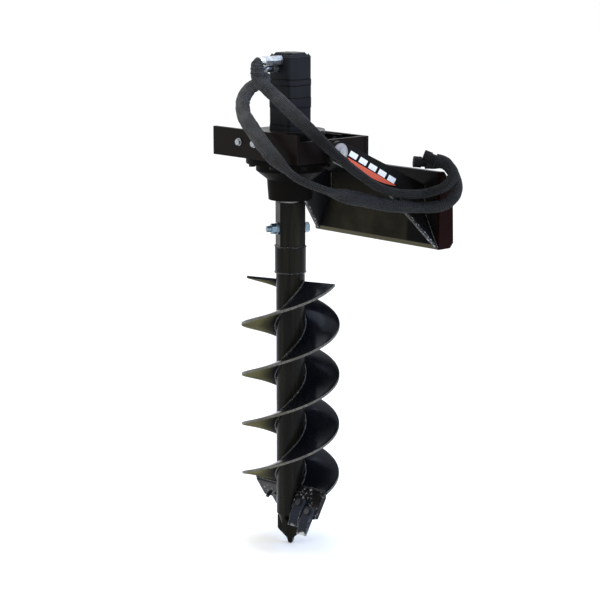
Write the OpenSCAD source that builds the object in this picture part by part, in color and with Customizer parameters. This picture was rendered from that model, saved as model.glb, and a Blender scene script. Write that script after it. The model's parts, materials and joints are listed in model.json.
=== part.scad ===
// Hydraulic earth auger on a loader plate: plate and arms, swinging hanger with planetary drive,
// double-flight bit with bolted teeth, and two sleeved hoses. Millimetres, +Z up, -Y to the front.
// The origin is the centre of the loader face. Parts of the drive are placed from the pivot centre.

/* [Mount plate] */
// Width of the loader plate
plate_width = 560; // [520:5:640]
// Height of the loader plate
plate_height = 242; // [220:1:270]
// Thickness of the loader plate
plate_thick = 12; // [8:1:16]
// Depth of the end plates behind the loader face
end_depth = 52; // [40:1:70]
// Thickness of the end plates
end_thick = 10; // [6:1:14]
// Distance of a brace's foot from the plate's end
brace_inset = 5; // [2:1:12]
// How far a brace reaches forward along its arm
brace_reach = 165; // [140:1:190]
// Thickness of the top and bottom lips
lip_thick = 10; // [6:1:12]
// Distance between the two lock pin slots
slot_spacing = 300; // [200:5:400]
// Half width of a lock pin slot
slot_half = 11; // [8:0.5:14]
// How far the top hook reaches back and down
hook_reach = 40; // [34:1:44]

/* [Arms and pivot] */
// Distance from the loader face forward to the drive axis
reach = 377; // [350:1:420]
// Height of the pivot above the middle of the plate
lift = 206; // [190:1:230]
// Space between the hanger box and each arm
arm_gap = 15; // [10:1:30]
// Thickness of an arm
arm_thick = 12; // [8:1:16]
// Radius of an arm's rounded pivot end
arm_round = 33; // [32:1:40]
// Slope of an arm below level, in degrees
arm_slope = 24.5; // [22:0.5:28]
// Height of an arm where it meets the plate
arm_heel = 85; // [70:1:95]
// Radius of a pivot pin
pin_r = 19; // [14:0.5:22]
// Running gap around a pin or shaft
run_gap = 0.05; // [0.02:0.01:0.09]
// Radius of a pivot washer
washer_r = 27.3; // [24:0.1:31]
// Thickness of a pivot washer
washer_thick = 6; // [4:0.5:8]

/* [Hanger box] */
// Half length of the hanger box along the pivot
box_half = 190; // [180:1:200]
// Half depth of the hanger box
box_depth = 145; // [142:1:160]
// Thickness of the hanger plates
box_thick = 12; // [8:1:14]
// Height of the front plate above the pivot
front_high = 57; // [50:1:64]
// Height of the back and end plates above the pivot
back_high = 36; // [34:1:46]
// Underside of the hanger below the pivot
box_low = 29; // [24:1:31]
// Distance between neighbouring hanger bolts
bolt_step = 69; // [50:1:75]
// Sideways shift of the row of hanger bolts
bolt_shift = 0; // [-20:1:20]
// Height of the row of hanger bolts above the pivot
bolt_high = 18; // [12:1:22]
// Radius of a hanger bolt
bolt_r = 8; // [6:0.5:9]

/* [Gearbox] */
// Radius of the gearbox flange
flange_r = 135; // [132:0.5:140]
// Thickness of the gearbox flange
flange_thick = 20; // [16:1:24]
// Radius of the ring gear body
ring_r = 105; // [102:0.5:108]
// Height of the ring gear body above the hanger's underside
ring_high = 70; // [66:1:74]
// Radius of the hub at its lower end
hub_r = 67; // [62:0.5:72]
// Radius of the output shaft
shaft_r = 32; // [28:0.5:35]
// Gear tooth size (module)
tooth_size = 3; // [2.8:0.05:3.05]
// Clearance cut from each tooth flank
flank_gap = 0.12; // [0.1:0.01:0.2]
// Radius of a planet pin
planet_pin_r = 9; // [7:0.5:10]

/* [Motor] */
// Side of the motor body
motor_side = 92; // [84:1:96]
// Side of the motor flange
motor_flange_side = 94; // [90:1:104]
// Radius of the sun gear's shaft
sun_shaft_r = 12; // [10:0.5:13]
// Distance of the tie bolts from the motor's middle planes
tie_offset = 32; // [30:0.5:34]

/* [Bit] */
// Hole diameter that the bit cuts
auger_dia = 305; // [280:1:330]
// Outer diameter of the bit's pipe
pipe_dia = 88.9; // [82:0.1:92]
// Wall of the pipe
pipe_wall = 8; // [5:0.5:10]
// Pitch of each flight
flight_pitch = 318; // [300:1:340]
// Length of the flights along the pipe
flight_length = 650; // [620:1:680]
// Thickness of a flight
flight_thick = 8; // [5:0.5:10]
// Corner radius of the hex coupler
coupler_r = 46.7; // [44:0.1:48]
// Length of the hex coupler
coupler_length = 138; // [128:1:150]
// Width across the flats of the hex drive
hex_drive = 50.8; // [46:0.1:52]
// Radius of the collar below the coupler
collar_r = 48; // [47:0.1:52]
// Radius of the coupler bolt
coupler_bolt_r = 9.5; // [8:0.1:10]
// Width of a tooth
tooth_width = 40; // [34:1:42]
// Distance from a flight's lower end to the tip of an inner tooth
tooth_length = 126; // [112:1:136]
// How much farther an outer tooth reaches than an inner one
tooth_step = 20; // [8:1:26]
// Length of the pilot below the pipe
pilot_length = 100; // [92:1:120]

/* [Hoses] */
// Diameter of a sleeved hose
hose_dia = 39; // [32:0.5:39]

/* [Hidden] */
$fn = 64;
front_y = reach - plate_thick;
plate_top = plate_height / 2 - lift;
plate_bot = -plate_height / 2 - lift;
lip_half = plate_width / 2 - end_thick;
hook_high = hook_reach + 0.2 * lip_thick + 4;
arm_tan = tan(arm_slope);
tan_y = arm_round * sin(arm_slope);
tan_z = arm_round * cos(arm_slope);
arm_inner = box_half + arm_gap;
arm_outer = arm_inner + arm_thick;
arm_high = tan_z - (front_y - tan_y) * arm_tan;
arm_low = arm_high - arm_heel;
brace_low = arm_low + brace_reach * (-tan_z - arm_low) / (front_y + tan_y);
bush_r = pin_r + 11;
ring_top = ring_high - box_low;
flange_low = -box_low - flange_thick;
step_low = flange_low - 23;
cone_low = step_low - 27;
hub_low = cone_low - 62;
cover_top = ring_top + 10;
bore_r = shaft_r + 14;
carrier_top = 17 - box_low;
carrier_low = flange_low + 5;
gear_low = carrier_top + 0.5;
gear_top = gear_low + 35;
sun_teeth = 12;
planet_teeth = 18;
ring_teeth = 48;
centre = tooth_size * (sun_teeth + planet_teeth) / 2;
flange_top = cover_top + 15;
housing_top = flange_top + 52;
spacer_top = housing_top + 30;
gerotor_top = spacer_top + 37;
valve_top = gerotor_top + 18;
port_top = valve_top + 79;
coupler_top = hub_low - 9;
coupler_low = coupler_top - coupler_length;
collar_low = coupler_low - 77;
pipe_r = pipe_dia / 2;
pipe_top = coupler_low - 21;
flight_top = collar_low - 32;
flight_low = flight_top - flight_length;
pipe_low = flight_low - 92;
hex_turn = 36;
bolt_turn = 66;
flat_r = coupler_r * cos(30);
bolt_z = coupler_top - 81;
start_turn = 21;
end_turn = start_turn - 360 * flight_length / flight_pitch;
auger_r = auger_dia / 2;
steps = 120;
step_turn = (end_turn - start_turn) / steps;
root_r = (pipe_r + 0.02) / cos(step_turn / 2);
bolts_x = [for (i = [-1:1]) bolt_shift + i * bolt_step];
tooth_dir = [-0.55, -0.835];
tooth_out = [-0.835, 0.55];
holder_in = pipe_r + 0.1;
holder_out = auger_r - 3;
teeth_x = [holder_out - 4 - tooth_width / 2, holder_out - 10 - tooth_width * 1.5];
holder_mid = holder_out - 7 - tooth_width;
teeth_s = [tooth_step, 0];
hose_r = hose_dia / 2;
port_1 = [6, -motor_side / 2, valve_top + 59];
port_2 = [-12, -motor_side / 2, valve_top + 34];
start_1 = [port_1[0], -136, port_1[2] - 24];
start_2 = [port_2[0], -95, port_2[2] - 24];
out_x = arm_outer + 8 + hose_r;
end_x = plate_width / 2 + 12 + hose_r;
lay_z = plate_top + hose_r;
route_1 = [start_1, start_1 - [0, 0, 18], [13, -135, 204], [38, -127, 184], [80, -115, 150],
  [152, -111, 106], [out_x - 20, -101, 56], [out_x + 10, -48, -2], [out_x + 10, 37, -61],
  [out_x + 10, 132, -114], [out_x + 18, 221, -139], [out_x + 34, 288, -144], [end_x + 8, 316, -130],
  [end_x + 32, 336, -110], [end_x + 33, 352, plate_top + 4], [end_x + 6, 348, lay_z + 12],
  [end_x - 16, 326, lay_z + 24]];
route_2 = [start_2, start_2 - [0, 0, 12], [-28, -106, 192], [-46, -122, 176], [-48, -146, 144],
  [-16, -170, 106], [42, -182, 62], [92, -182, 19], [146, -174, -24], [192, -146, -66],
  [out_x - 16, -90, -97], [out_x - 4, -3, -126], [out_x - 4, 100, -152], [out_x + 5, 190, -174],
  [out_x + 23, 285, -187], [end_x - 1, 340, -183], [end_x + 20, 374, -156], [end_x + 12, 392, -118],
  [end_x - 18, 382, lay_z + 4], [end_x - 50, 352, lay_z + 8], [end_x - 64, 334, lay_z + 10]];
sides = 14;
fine = 5;

// Places its children from the pivot centre
module at_drive() translate([0, -reach, lift]) children();

// Extrudes a Y,Z outline along X from x0 to x1
module along_x(x0, x1) translate([x0, 0, 0]) rotate([90, 0, 90])
  linear_extrude(height = x1 - x0) children();

// A cylinder along X from x0 to x1
module rod_x(r, x0, x1) translate([x0, 0, 0]) rotate([0, 90, 0]) cylinder(r = r, h = x1 - x0);

// A hexagonal prism along X from x0 to x1
module hex_x(r, x0, x1) translate([x0, 0, 0]) rotate([0, 90, 0]) cylinder(r = r, h = x1 - x0, $fn = 6);

// A cylinder along Y from y0 to y1
module rod_y(r, y0, y1) translate([0, y0, 0]) rotate([-90, 0, 0]) cylinder(r = r, h = y1 - y0);

// A hexagonal prism along Y from y0 to y1
module hex_y(r, y0, y1) translate([0, y0, 0]) rotate([-90, 0, 0]) cylinder(r = r, h = y1 - y0, $fn = 6);

// A cylinder from z0 up to z1
module post(r, z0, z1) translate([0, 0, z0]) cylinder(r = r, h = z1 - z0);

// Both sides, left and right
module both() {
  children();
  mirror([1, 0, 0]) children();
}

// A square block with round corners
module pad(side, r, z0, z1) {
  h = z1 - z0;
  c = side / 2 - r;
  translate([-side / 2, -c, z0]) cube([side, 2 * c, h]);
  translate([-c, -side / 2, z0]) cube([2 * c, side, h]);
  for (x = [-c, c], y = [-c, c]) translate([x, y, z0]) cylinder(r = r, h = h, $fn = 32);
}

// The four corners of the tie bolts
module at_ties() for (x = [-tie_offset, tie_offset], y = [-tie_offset, tie_offset])
  translate([x, y, 0]) children();

// Involute outline of a gear; grow widens the tooth for cutting a ring, low and high are the tip and root
function inv(a) = tan(a) * 180 / PI - a;
function flank(n, r, half) = let (rb = tooth_size * n / 2 * cos(25), a = acos(min(1, rb / r)))
  half - inv(a);
function gear_points(n, high, low, grow) = let (rp = tooth_size * n / 2, rb = rp * cos(25),
  half = 90 / n + inv(25) + grow / rp * 180 / PI, r0 = max(low, rb + 0.02), k = 5)
  [for (t = [0:n - 1]) let (m = 360 * t / n, w = flank(n, r0, half)) each concat(
    low < r0 ? [[low * cos(m - w), low * sin(m - w)]] : [],
    [for (i = [0:k]) let (r = r0 + (high - r0) * i / k, f = m - flank(n, r, half))
      [r * cos(f), r * sin(f)]],
    [for (i = [k:-1:0]) let (r = r0 + (high - r0) * i / k, f = m + flank(n, r, half))
      [r * cos(f), r * sin(f)]],
    low < r0 ? [[low * cos(m + w), low * sin(m + w)]] : [])];

// An external gear with its teeth on the given turn
module gear(n, z0, z1, turn) {
  rp = tooth_size * n / 2;
  translate([0, 0, z0]) rotate([0, 0, turn]) linear_extrude(height = z1 - z0)
    polygon(gear_points(n, rp + 0.8 * tooth_size, rp - 1.1 * tooth_size, -flank_gap));
}

// A bent pipe along a list of points
function cr(p, i, t) = let (n = len(p) - 1, a = i > 0 ? p[i - 1] : 2 * p[0] - p[1], b = p[i], c = p[i + 1],
  d = i + 2 <= n ? p[i + 2] : 2 * p[n] - p[n - 1])
  0.5 * (2 * b + (c - a) * t + (2 * a - 5 * b + 4 * c - d) * t * t + (3 * b - a - 3 * c + d) * t * t * t);
function unit(v) = v / norm(v);
function bent(p) = [for (i = [0:len(p) - 2], k = [0:fine - 1]) cr(p, i, k / fine), p[len(p) - 1]];
function headings(q, p) = let (n = len(q) - 1, m = len(p) - 1) [for (i = [0:n])
  unit(i == 0 ? p[1] - p[0] : i == n ? p[m] - p[m - 1] : q[i + 1] - q[i - 1])];
function sideways(t) = [for (i = 0, s = unit(cross(t[0], [0, 1, 0])); i < len(t);
  i = i + 1, s = i < len(t) ? unit(s - (s * t[i]) * t[i]) : s) s];
module tube(p, r) {
  q = bent(p);
  t = headings(q, p);
  s = sideways(t);
  n = len(q);
  pts = [for (i = [0:n - 1], k = [0:sides - 1]) let (a = 360 * k / sides)
    q[i] + r * (cos(a) * s[i] + sin(a) * cross(t[i], s[i]))];
  wall = [for (i = [0:n - 2], k = [0:sides - 1]) each [
    [i * sides + k, i * sides + (k + 1) % sides, (i + 1) * sides + k],
    [i * sides + (k + 1) % sides, (i + 1) * sides + (k + 1) % sides, (i + 1) * sides + k]]];
  polyhedron(points = pts, faces = concat([for (f = wall) [f[2], f[1], f[0]]],
    [[for (k = [0:sides - 1]) k]],
    [[for (k = [sides - 1:-1:0]) (n - 1) * sides + k]]));
}

// Sets its children's +Z along the last stretch of a route
module at_end(p) {
  n = len(p) - 1;
  d = unit(p[n] - p[n - 1]);
  translate(p[n]) rotate([0, acos(d[2]), atan2(d[1], d[0])]) children();
}

module mount_plate() color([0.1, 0.1, 0.11]) at_drive()
  translate([-lip_half, front_y, plate_bot + lip_thick])
    cube([2 * lip_half, plate_thick, plate_height - lip_thick - hook_high]);

module top_lip() color([0.1, 0.1, 0.11]) at_drive() along_x(-lip_half, lip_half)
  polygon([[front_y, plate_top - hook_high], [front_y, plate_top], [reach + 0.5 * lip_thick, plate_top],
    [reach + hook_reach, plate_top - hook_reach + 0.5 * lip_thick],
    [reach + hook_reach - 0.7 * lip_thick, plate_top - hook_reach - 0.2 * lip_thick],
    [reach, plate_top - 1.4 * lip_thick], [reach, plate_top - hook_high]]);

module bottom_lip() color([0.1, 0.1, 0.11]) at_drive() difference() {
  translate([-lip_half, front_y, plate_bot])
    cube([2 * lip_half, plate_thick + end_depth - 14, lip_thick]);
  for (x = [-slot_spacing / 2, slot_spacing / 2])
    translate([x, reach + (end_depth - 14) / 2, plate_bot]) {
      for (s = [-12, 12]) translate([s, 0, -1]) cylinder(r = slot_half, h = lip_thick + 2);
      translate([-12, -slot_half, -1]) cube([24, 2 * slot_half, lip_thick + 2]);
    }
}

module end_outline() polygon([[front_y, plate_bot], [reach + end_depth - 14, plate_bot],
  [reach + end_depth, plate_bot + 16], [reach + end_depth - 6, plate_top - hook_high],
  [reach + 0.6 * lip_thick, plate_top], [front_y, plate_top]]);

module end_plate_left() color([0.12, 0.11, 0.11]) at_drive()
  along_x(-plate_width / 2, -lip_half) end_outline();

module end_plate_right() color([0.12, 0.11, 0.11]) at_drive()
  along_x(lip_half, plate_width / 2) end_outline();

module arm() difference() {
  union() {
    rod_x(arm_round, arm_inner, arm_outer);
    along_x(arm_inner, arm_outer) polygon([[tan_y, tan_z], [front_y, arm_high], [front_y, arm_low],
      [-tan_y, -tan_z]]);
  }
  rod_x(pin_r, arm_inner - 1, arm_outer + 1);
}

module arm_left() color([0.09, 0.09, 0.1]) at_drive() mirror([1, 0, 0]) arm();

module arm_right() color([0.09, 0.09, 0.1]) at_drive() arm();

// A three-cornered plate from the arm's lower edge out to the plate's lower corner
module brace() {
  foot_x = plate_width / 2 - brace_inset - arm_thick;
  corners = [[arm_inner, front_y, arm_low], [arm_inner, front_y - brace_reach, brace_low],
    [foot_x, front_y, plate_bot + 2]];
  polyhedron(points = concat(corners, [for (c = corners) c + [arm_thick, 0, 0]]),
    faces = [[0, 1, 2], [4, 3, 5], [3, 4, 1, 0], [5, 3, 0, 2], [4, 5, 2, 1]]);
}

module brace_left() color([0.1, 0.1, 0.1]) at_drive() mirror([1, 0, 0]) brace();

module brace_right() color([0.1, 0.1, 0.1]) at_drive() brace();

module pivot_pins() color([0.5, 0.5, 0.52]) at_drive() both() difference() {
  rod_x(pin_r, box_half - 42, arm_outer);
  rod_x(8, arm_outer - 40, arm_outer + 1);
}

module pivot_washers() color([0.8, 0.8, 0.82]) at_drive() both() difference() {
  rod_x(washer_r, arm_outer, arm_outer + washer_thick);
  rod_x(8, arm_outer - 1, arm_outer + washer_thick + 1);
}

module pivot_bolts() color([0.75, 0.75, 0.77]) at_drive() both() {
  rod_x(8, arm_outer - 40, arm_outer + washer_thick);
  hex_x(13.9, arm_outer + washer_thick, arm_outer + washer_thick + 10);
}

module at_bolts() for (x = bolts_x) translate([x, 0, bolt_high]) children();

module hanger_front_plate() color([0.11, 0.1, 0.1]) at_drive() difference() {
  translate([-box_half, -box_depth, -box_low]) cube([2 * box_half, box_thick, box_low + front_high]);
  at_bolts() rod_y(bolt_r, -box_depth - 1, box_thick - box_depth + 1);
}

module hanger_back_plate() color([0.11, 0.1, 0.1]) at_drive() difference() {
  translate([-box_half, box_depth - box_thick, -box_low])
    cube([2 * box_half, box_thick, box_low + back_high]);
  at_bolts() rod_y(bolt_r, box_depth - box_thick - 1, box_depth + 1);
}

module hanger_end() difference() {
  translate([box_half - box_thick, box_thick - box_depth, -box_low])
    cube([box_thick, 2 * (box_depth - box_thick), box_low + back_high]);
  rod_x(bush_r - 4, box_half - box_thick - 1, box_half + 1);
}

module hanger_end_left() color([0.11, 0.1, 0.1]) at_drive() mirror([1, 0, 0]) hanger_end();

module hanger_end_right() color([0.11, 0.1, 0.1]) at_drive() hanger_end();

module at_flange_bolts() for (i = [0:7]) rotate([0, 0, 22.5 + 45 * i])
  translate([flange_r - 13, 0, 0]) children();

module hanger_base() color([0.11, 0.1, 0.1]) at_drive() difference() {
  translate([44 - box_half, box_thick - box_depth, -box_low])
    cube([2 * (box_half - 44), 2 * (box_depth - box_thick), 10]);
  post(ring_r, -box_low - 1, 11 - box_low);
  at_flange_bolts() post(6, -box_low - 1, 11 - box_low);
}

module hanger_bars() color([0.13, 0.13, 0.14]) at_drive() difference() {
  for (s = [-1, 1]) translate([bolts_x[0] - 25, s * (box_depth - box_thick - 7) - 7, bolt_high - 15])
    cube([2 * bolt_step + 50, 14, 30]);
  at_bolts() rod_y(bolt_r, box_thick - box_depth - 1, box_thick - box_depth + 15);
  at_bolts() rod_y(bolt_r, box_depth - box_thick - 15, box_depth - box_thick + 1);
}

module hanger_bolts() color([0.8, 0.8, 0.82]) at_drive() for (s = [0, 1]) mirror([0, s, 0]) at_bolts() {
  rod_y(bolt_r, -box_depth, box_thick - box_depth + 14);
  rod_y(15, -box_depth - 3, -box_depth);
  hex_y(13.5, -box_depth - 13, -box_depth - 3);
}

module pivot_bushings() color([0.14, 0.14, 0.15]) at_drive() both() difference() {
  union() {
    rod_x(bush_r - 4, box_half - 42, box_half);
    rod_x(bush_r, box_half, arm_inner - 0.5);
  }
  rod_x(pin_r + run_gap, box_half - 43, arm_inner + 1);
}

module gearbox_housing() color([0.12, 0.12, 0.11]) at_drive() difference() {
  rotate_extrude() polygon([[0, -box_low], [flange_r, -box_low], [flange_r, flange_low],
    [ring_r, flange_low], [ring_r, step_low], [hub_r + 4.5, cone_low], [hub_r, hub_low], [0, hub_low]]);
  post(76, flange_low, 1 - box_low);
  post(bore_r, hub_low - 1, 0);
  at_flange_bolts() post(6, flange_low - 1, 1 - box_low);
}

module ring_gear() color([0.12, 0.12, 0.12]) at_drive() difference() {
  post(ring_r, -box_low, ring_top);
  post(78, -box_low - 1, gear_low - 0.25);
  post(78, gear_top + 2, ring_top + 1);
  translate([0, 0, -box_low - 1]) rotate([0, 0, 180 / ring_teeth]) linear_extrude(height = ring_high + 2)
    polygon(gear_points(ring_teeth, tooth_size * (ring_teeth / 2 + 1.1),
      tooth_size * (ring_teeth / 2 - 0.8), flank_gap));
}

module gearbox_cover() color([0.12, 0.12, 0.12]) at_drive() difference() {
  post(ring_r, ring_top, cover_top);
  post(sun_shaft_r + 2, ring_top - 1, cover_top + 1);
}

module flange_bolts() color([0.7, 0.7, 0.72]) at_drive() at_flange_bolts() {
  post(6, flange_low, 10 - box_low);
  translate([0, 0, flange_low - 8]) cylinder(r = 10.4, h = 8, $fn = 6);
  translate([0, 0, 10 - box_low]) cylinder(r = 10.4, h = 8, $fn = 6);
}

module ring(r_out, r_in, z0, z1) difference() {
  post(r_out, z0, z1);
  post(r_in, z0 - 1, z1 + 1);
}

module output_bearings() color([0.7, 0.7, 0.72]) at_drive() {
  ring(bore_r, shaft_r + run_gap, flange_low - 34, flange_low - 6);
  ring(bore_r, shaft_r + run_gap, hub_low + 14, hub_low + 42);
}

module output_seal() color([0.06, 0.06, 0.06]) at_drive()
  ring(bore_r, shaft_r + 0.08, hub_low, hub_low + 12);

module motor_flange() color([0.1, 0.1, 0.11]) at_drive() difference() {
  pad(motor_flange_side, 9, cover_top, flange_top);
  post(sun_shaft_r + run_gap, cover_top - 1, flange_top + 1);
  at_ties() post(5, cover_top - 1, flange_top + 1);
}

module motor_housing() color([0.1, 0.1, 0.11]) at_drive() difference() {
  pad(motor_side, 8, flange_top, housing_top);
  post(sun_shaft_r + run_gap, flange_top - 1, housing_top - 6);
  at_ties() post(5, flange_top - 1, housing_top + 1);
}

module stack(z0, z1, side) difference() {
  pad(side, 8, z0, z1);
  at_ties() post(5, z0 - 1, z1 + 1);
}

module motor_spacer() color([0.11, 0.11, 0.12]) at_drive() stack(housing_top, spacer_top, motor_side + 2);

module gerotor_section() color([0.1, 0.1, 0.11]) at_drive() stack(spacer_top, gerotor_top, motor_side + 1);

module valve_plate() color([0.11, 0.11, 0.12]) at_drive() stack(gerotor_top, valve_top, motor_side + 2);

module port_housing() color([0.1, 0.1, 0.11]) at_drive() difference() {
  union() {
    pad(motor_side, 8, valve_top, port_top - 12);
    translate([0, 0, port_top - 12]) linear_extrude(height = 12, scale = 0.84)
      square([motor_side - 4, motor_side - 4], center = true);
  }
  at_ties() post(5, valve_top - 1, port_top + 1);
  at_ties() post(8.5, port_top - 14, port_top + 1);
  for (p = [port_1, port_2]) translate(p) rod_y(11, -1, 18);
}

module motor_tie_bolts() color([0.6, 0.6, 0.62]) at_drive() at_ties() {
  post(5, cover_top, port_top - 14);
  post(8.5, port_top - 14, port_top - 6);
}

module port_fittings() color([0.8, 0.8, 0.82]) at_drive() for (p = [port_1, port_2]) translate(p) {
  rod_y(11, -8, 18);
  hex_y(15, -20, 0);
}

module elbow(p, s) {
  y0 = p[1] - 20;
  translate([p[0], 0, p[2]]) rod_y(11.5, s[1] + 14, y0);
  translate([p[0], 0, p[2]]) hex_y(14.5, s[1] + 26, y0);
  translate([s[0], s[1] + 14, p[2] - 14]) rotate([0, -90, 0]) rotate_extrude(angle = -90)
    translate([14, 0]) circle(r = 11.5, $fn = 24);
  translate([s[0], s[1], s[2]]) cylinder(r = 17, h = 10);
}

module hose_elbows() color([0.78, 0.78, 0.8]) at_drive() {
  elbow(port_1, start_1);
  elbow(port_2, start_2);
}

module hose_1() color([0.25, 0.26, 0.28]) at_drive() tube(route_1, hose_r);

module hose_2() color([0.25, 0.26, 0.28]) at_drive() tube(route_2, hose_r);

module hose_end(p) at_end(p) {
  cylinder(r = 14, h = 14);
  translate([0, 0, 14]) cylinder(r = 17, h = 24);
}

module hose_end_1() color([0.1, 0.1, 0.1]) at_drive() hose_end(route_1);

module hose_end_2() color([0.1, 0.1, 0.1]) at_drive() hose_end(route_2);

module sun_gear() color([0.6, 0.6, 0.62]) at_drive() {
  gear(sun_teeth, gear_low, gear_top, 0);
  post(sun_shaft_r, gear_top, housing_top - 10);
}

module planet(i) rotate([0, 0, 120 * i]) translate([centre, 0, 0]) difference() {
  gear(planet_teeth, gear_low, gear_top, 180 / planet_teeth);
  post(planet_pin_r + run_gap, gear_low - 1, gear_top + 1);
}

module planet_gear_1() color([0.62, 0.6, 0.55]) at_drive() planet(0);

module planet_gear_2() color([0.62, 0.6, 0.55]) at_drive() planet(1);

module planet_gear_3() color([0.62, 0.6, 0.55]) at_drive() planet(2);

module at_planets() for (i = [0:2]) rotate([0, 0, 120 * i]) translate([centre, 0, 0]) children();

module output_carrier() color([0.55, 0.55, 0.57]) at_drive() difference() {
  union() {
    post(70, carrier_low, carrier_top);
    post(shaft_r, coupler_top, carrier_low);
    translate([0, 0, coupler_low + 18]) rotate([0, 0, hex_turn])
      cylinder(r = hex_drive / sqrt(3), h = hub_low - coupler_low - 14, $fn = 6);
  }
  at_planets() post(planet_pin_r, carrier_low + 8, carrier_top + 1);
  at_coupler_bolt() rod_x(coupler_bolt_r, -60, 60);
}

module planet_pins() color([0.6, 0.6, 0.6]) at_drive() at_planets()
  post(planet_pin_r, carrier_low + 8, gear_top);

module hex_coupler() color([0.12, 0.12, 0.11]) at_drive() difference() {
  translate([0, 0, coupler_low]) rotate([0, 0, hex_turn])
    cylinder(r = coupler_r, h = coupler_length, $fn = 6);
  translate([0, 0, coupler_low + 10]) rotate([0, 0, hex_turn])
    cylinder(r = hex_drive / sqrt(3), h = coupler_length, $fn = 6);
  at_coupler_bolt() rod_x(coupler_bolt_r, -60, 60);
}

module at_coupler_bolt() translate([0, 0, bolt_z]) rotate([0, 0, bolt_turn]) children();

module coupler_bolt() color([0.75, 0.77, 0.8]) at_drive() at_coupler_bolt() {
  rod_x(coupler_bolt_r, -flat_r - 36, flat_r);
  rod_x(19, flat_r, flat_r + 4);
  hex_x(16.5, flat_r + 4, flat_r + 18);
}

module coupler_nut() color([0.75, 0.77, 0.8]) at_drive() at_coupler_bolt()
  difference() {
    union() {
      rod_x(19, -flat_r - 4, -flat_r);
      hex_x(16.5, -flat_r - 22, -flat_r - 4);
    }
    rod_x(coupler_bolt_r, -flat_r - 30, -flat_r + 1);
  }

module collar() color([0.12, 0.12, 0.11]) at_drive() difference() {
  post(collar_r, collar_low, coupler_low);
  post(pipe_r, collar_low - 1, pipe_top);
}

module pipe() color([0.11, 0.11, 0.1]) at_drive() ring(pipe_r, pipe_r - pipe_wall, pipe_low, pipe_top);

// One flight: a helical plate from the pipe out to the cutting radius
module flight(turn) {
  pts = [for (i = [0:steps]) let (a = turn + step_turn * i,
    z = flight_top - flight_length * i / steps) each [
    [root_r * cos(a), root_r * sin(a), z - flight_thick / 2],
    [auger_r * cos(a), auger_r * sin(a), z - flight_thick / 2],
    [auger_r * cos(a), auger_r * sin(a), z + flight_thick / 2],
    [root_r * cos(a), root_r * sin(a), z + flight_thick / 2]]];
  wall = [for (i = [0:steps - 1], k = [0:3]) let (m = (k + 1) % 4) each [
    [4 * i + k, 4 * i + m, 4 * i + 4 + k], [4 * i + m, 4 * i + 4 + m, 4 * i + 4 + k]]];
  polyhedron(points = pts, faces = concat([for (f = wall) [f[2], f[1], f[0]]], [[0, 1, 2, 3]],
    [[4 * steps + 3, 4 * steps + 2, 4 * steps + 1, 4 * steps]]));
}

module flight_a() color([0.12, 0.12, 0.11]) at_drive() flight(start_turn);

module flight_b() color([0.12, 0.12, 0.11]) at_drive() flight(start_turn + 180);

// Sets its children at the lower end of a flight: X outward, -Y the way the bit turns
module at_cut(s) rotate([0, 0, end_turn + 180 * s]) translate([0, 0, flight_low]) children();

// Extrudes an outline in the cut's Y,Z plane along its X
module cut_x(x0, x1) along_x(x0, x1) children();

// A place on the tooth's back face: s down along the tooth, t out from its face
function on_tooth(s, t) = [-8, 4] + s * tooth_dir + t * tooth_out;

// Sets +Z of its children along the tooth bolts
module at_tooth_bolts() for (i = [0, 1]) let (p = on_tooth(54 + teeth_s[i], 0))
  translate([teeth_x[i], p[0], p[1]]) rotate([acos(tooth_out[1]), 0, 0]) children();

module holder() difference() {
  for (i = [0, 1]) cut_x(i == 0 ? holder_mid : holder_in, i == 0 ? holder_out : holder_mid)
    polygon([[0, 4], [0, -16], on_tooth(62 + teeth_s[i], -18), on_tooth(70 + teeth_s[i], 0),
      on_tooth(0, 0)]);
  at_tooth_bolts() post(6, -40, 20);
}

module tooth_holder_a() color([0.1, 0.1, 0.1]) at_drive() at_cut(0) holder();

module tooth_holder_b() color([0.1, 0.1, 0.1]) at_drive() at_cut(1) holder();

module teeth() difference() {
  for (i = [0, 1]) let (x = teeth_x[i], d = teeth_s[i], e = tooth_length + teeth_s[i])
    cut_x(x - tooth_width / 2, x + tooth_width / 2)
      polygon([on_tooth(38 + d, 0), on_tooth(38 + d, 12), on_tooth(e - 34, 12), on_tooth(e, 1),
        on_tooth(e, 0)]);
  at_tooth_bolts() post(6, -40, 20);
}

module teeth_a() color([0.3, 0.3, 0.31]) at_drive() at_cut(0) teeth();

module teeth_b() color([0.3, 0.3, 0.31]) at_drive() at_cut(1) teeth();

module tooth_bolts() color([0.75, 0.75, 0.77]) at_drive() for (s = [0, 1]) at_cut(s) at_tooth_bolts() {
  post(6, -30, 12);
  translate([0, 0, 12]) cylinder(r = 10.5, h = 7, $fn = 6);
}

module pilot_socket() color([0.1, 0.1, 0.1]) at_drive() difference() {
  union() {
    post(pipe_r - pipe_wall, pipe_low, pipe_low + 30);
    translate([0, 0, pipe_low - 34]) cylinder(r1 = 30, r2 = pipe_r - 4, h = 34);
  }
  translate([0, 0, pipe_low - 34]) rotate([0, 0, 25]) cube([100, 16, 44], center = true);
  translate([0, 0, pipe_low - 20]) rotate([0, 0, 115]) rod_x(6, -50, 50);
}

module pilot_bit() color([0.14, 0.14, 0.14]) at_drive() difference() {
  translate([0, 0, pipe_low - 12]) rotate([0, 0, 25]) rotate([90, 0, 0]) translate([0, 0, -8])
    linear_extrude(height = 16)
    polygon([[-42, 0], [42, 0], [42, 56 - pilot_length], [10, 28 - pilot_length],
      [5, 12 - pilot_length], [-5, 12 - pilot_length], [-10, 28 - pilot_length],
      [-42, 56 - pilot_length]]);
  translate([0, 0, pipe_low - 20]) rotate([0, 0, 115]) rod_x(6, -50, 50);
}

module pilot_bolt() color([0.75, 0.75, 0.77]) at_drive()
  translate([0, 0, pipe_low - 20]) rotate([0, 0, 115]) {
    rod_x(6, -44, 40);
    hex_x(10.4, -48, -40);
    hex_x(10.4, 40, 48);
  }

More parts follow.
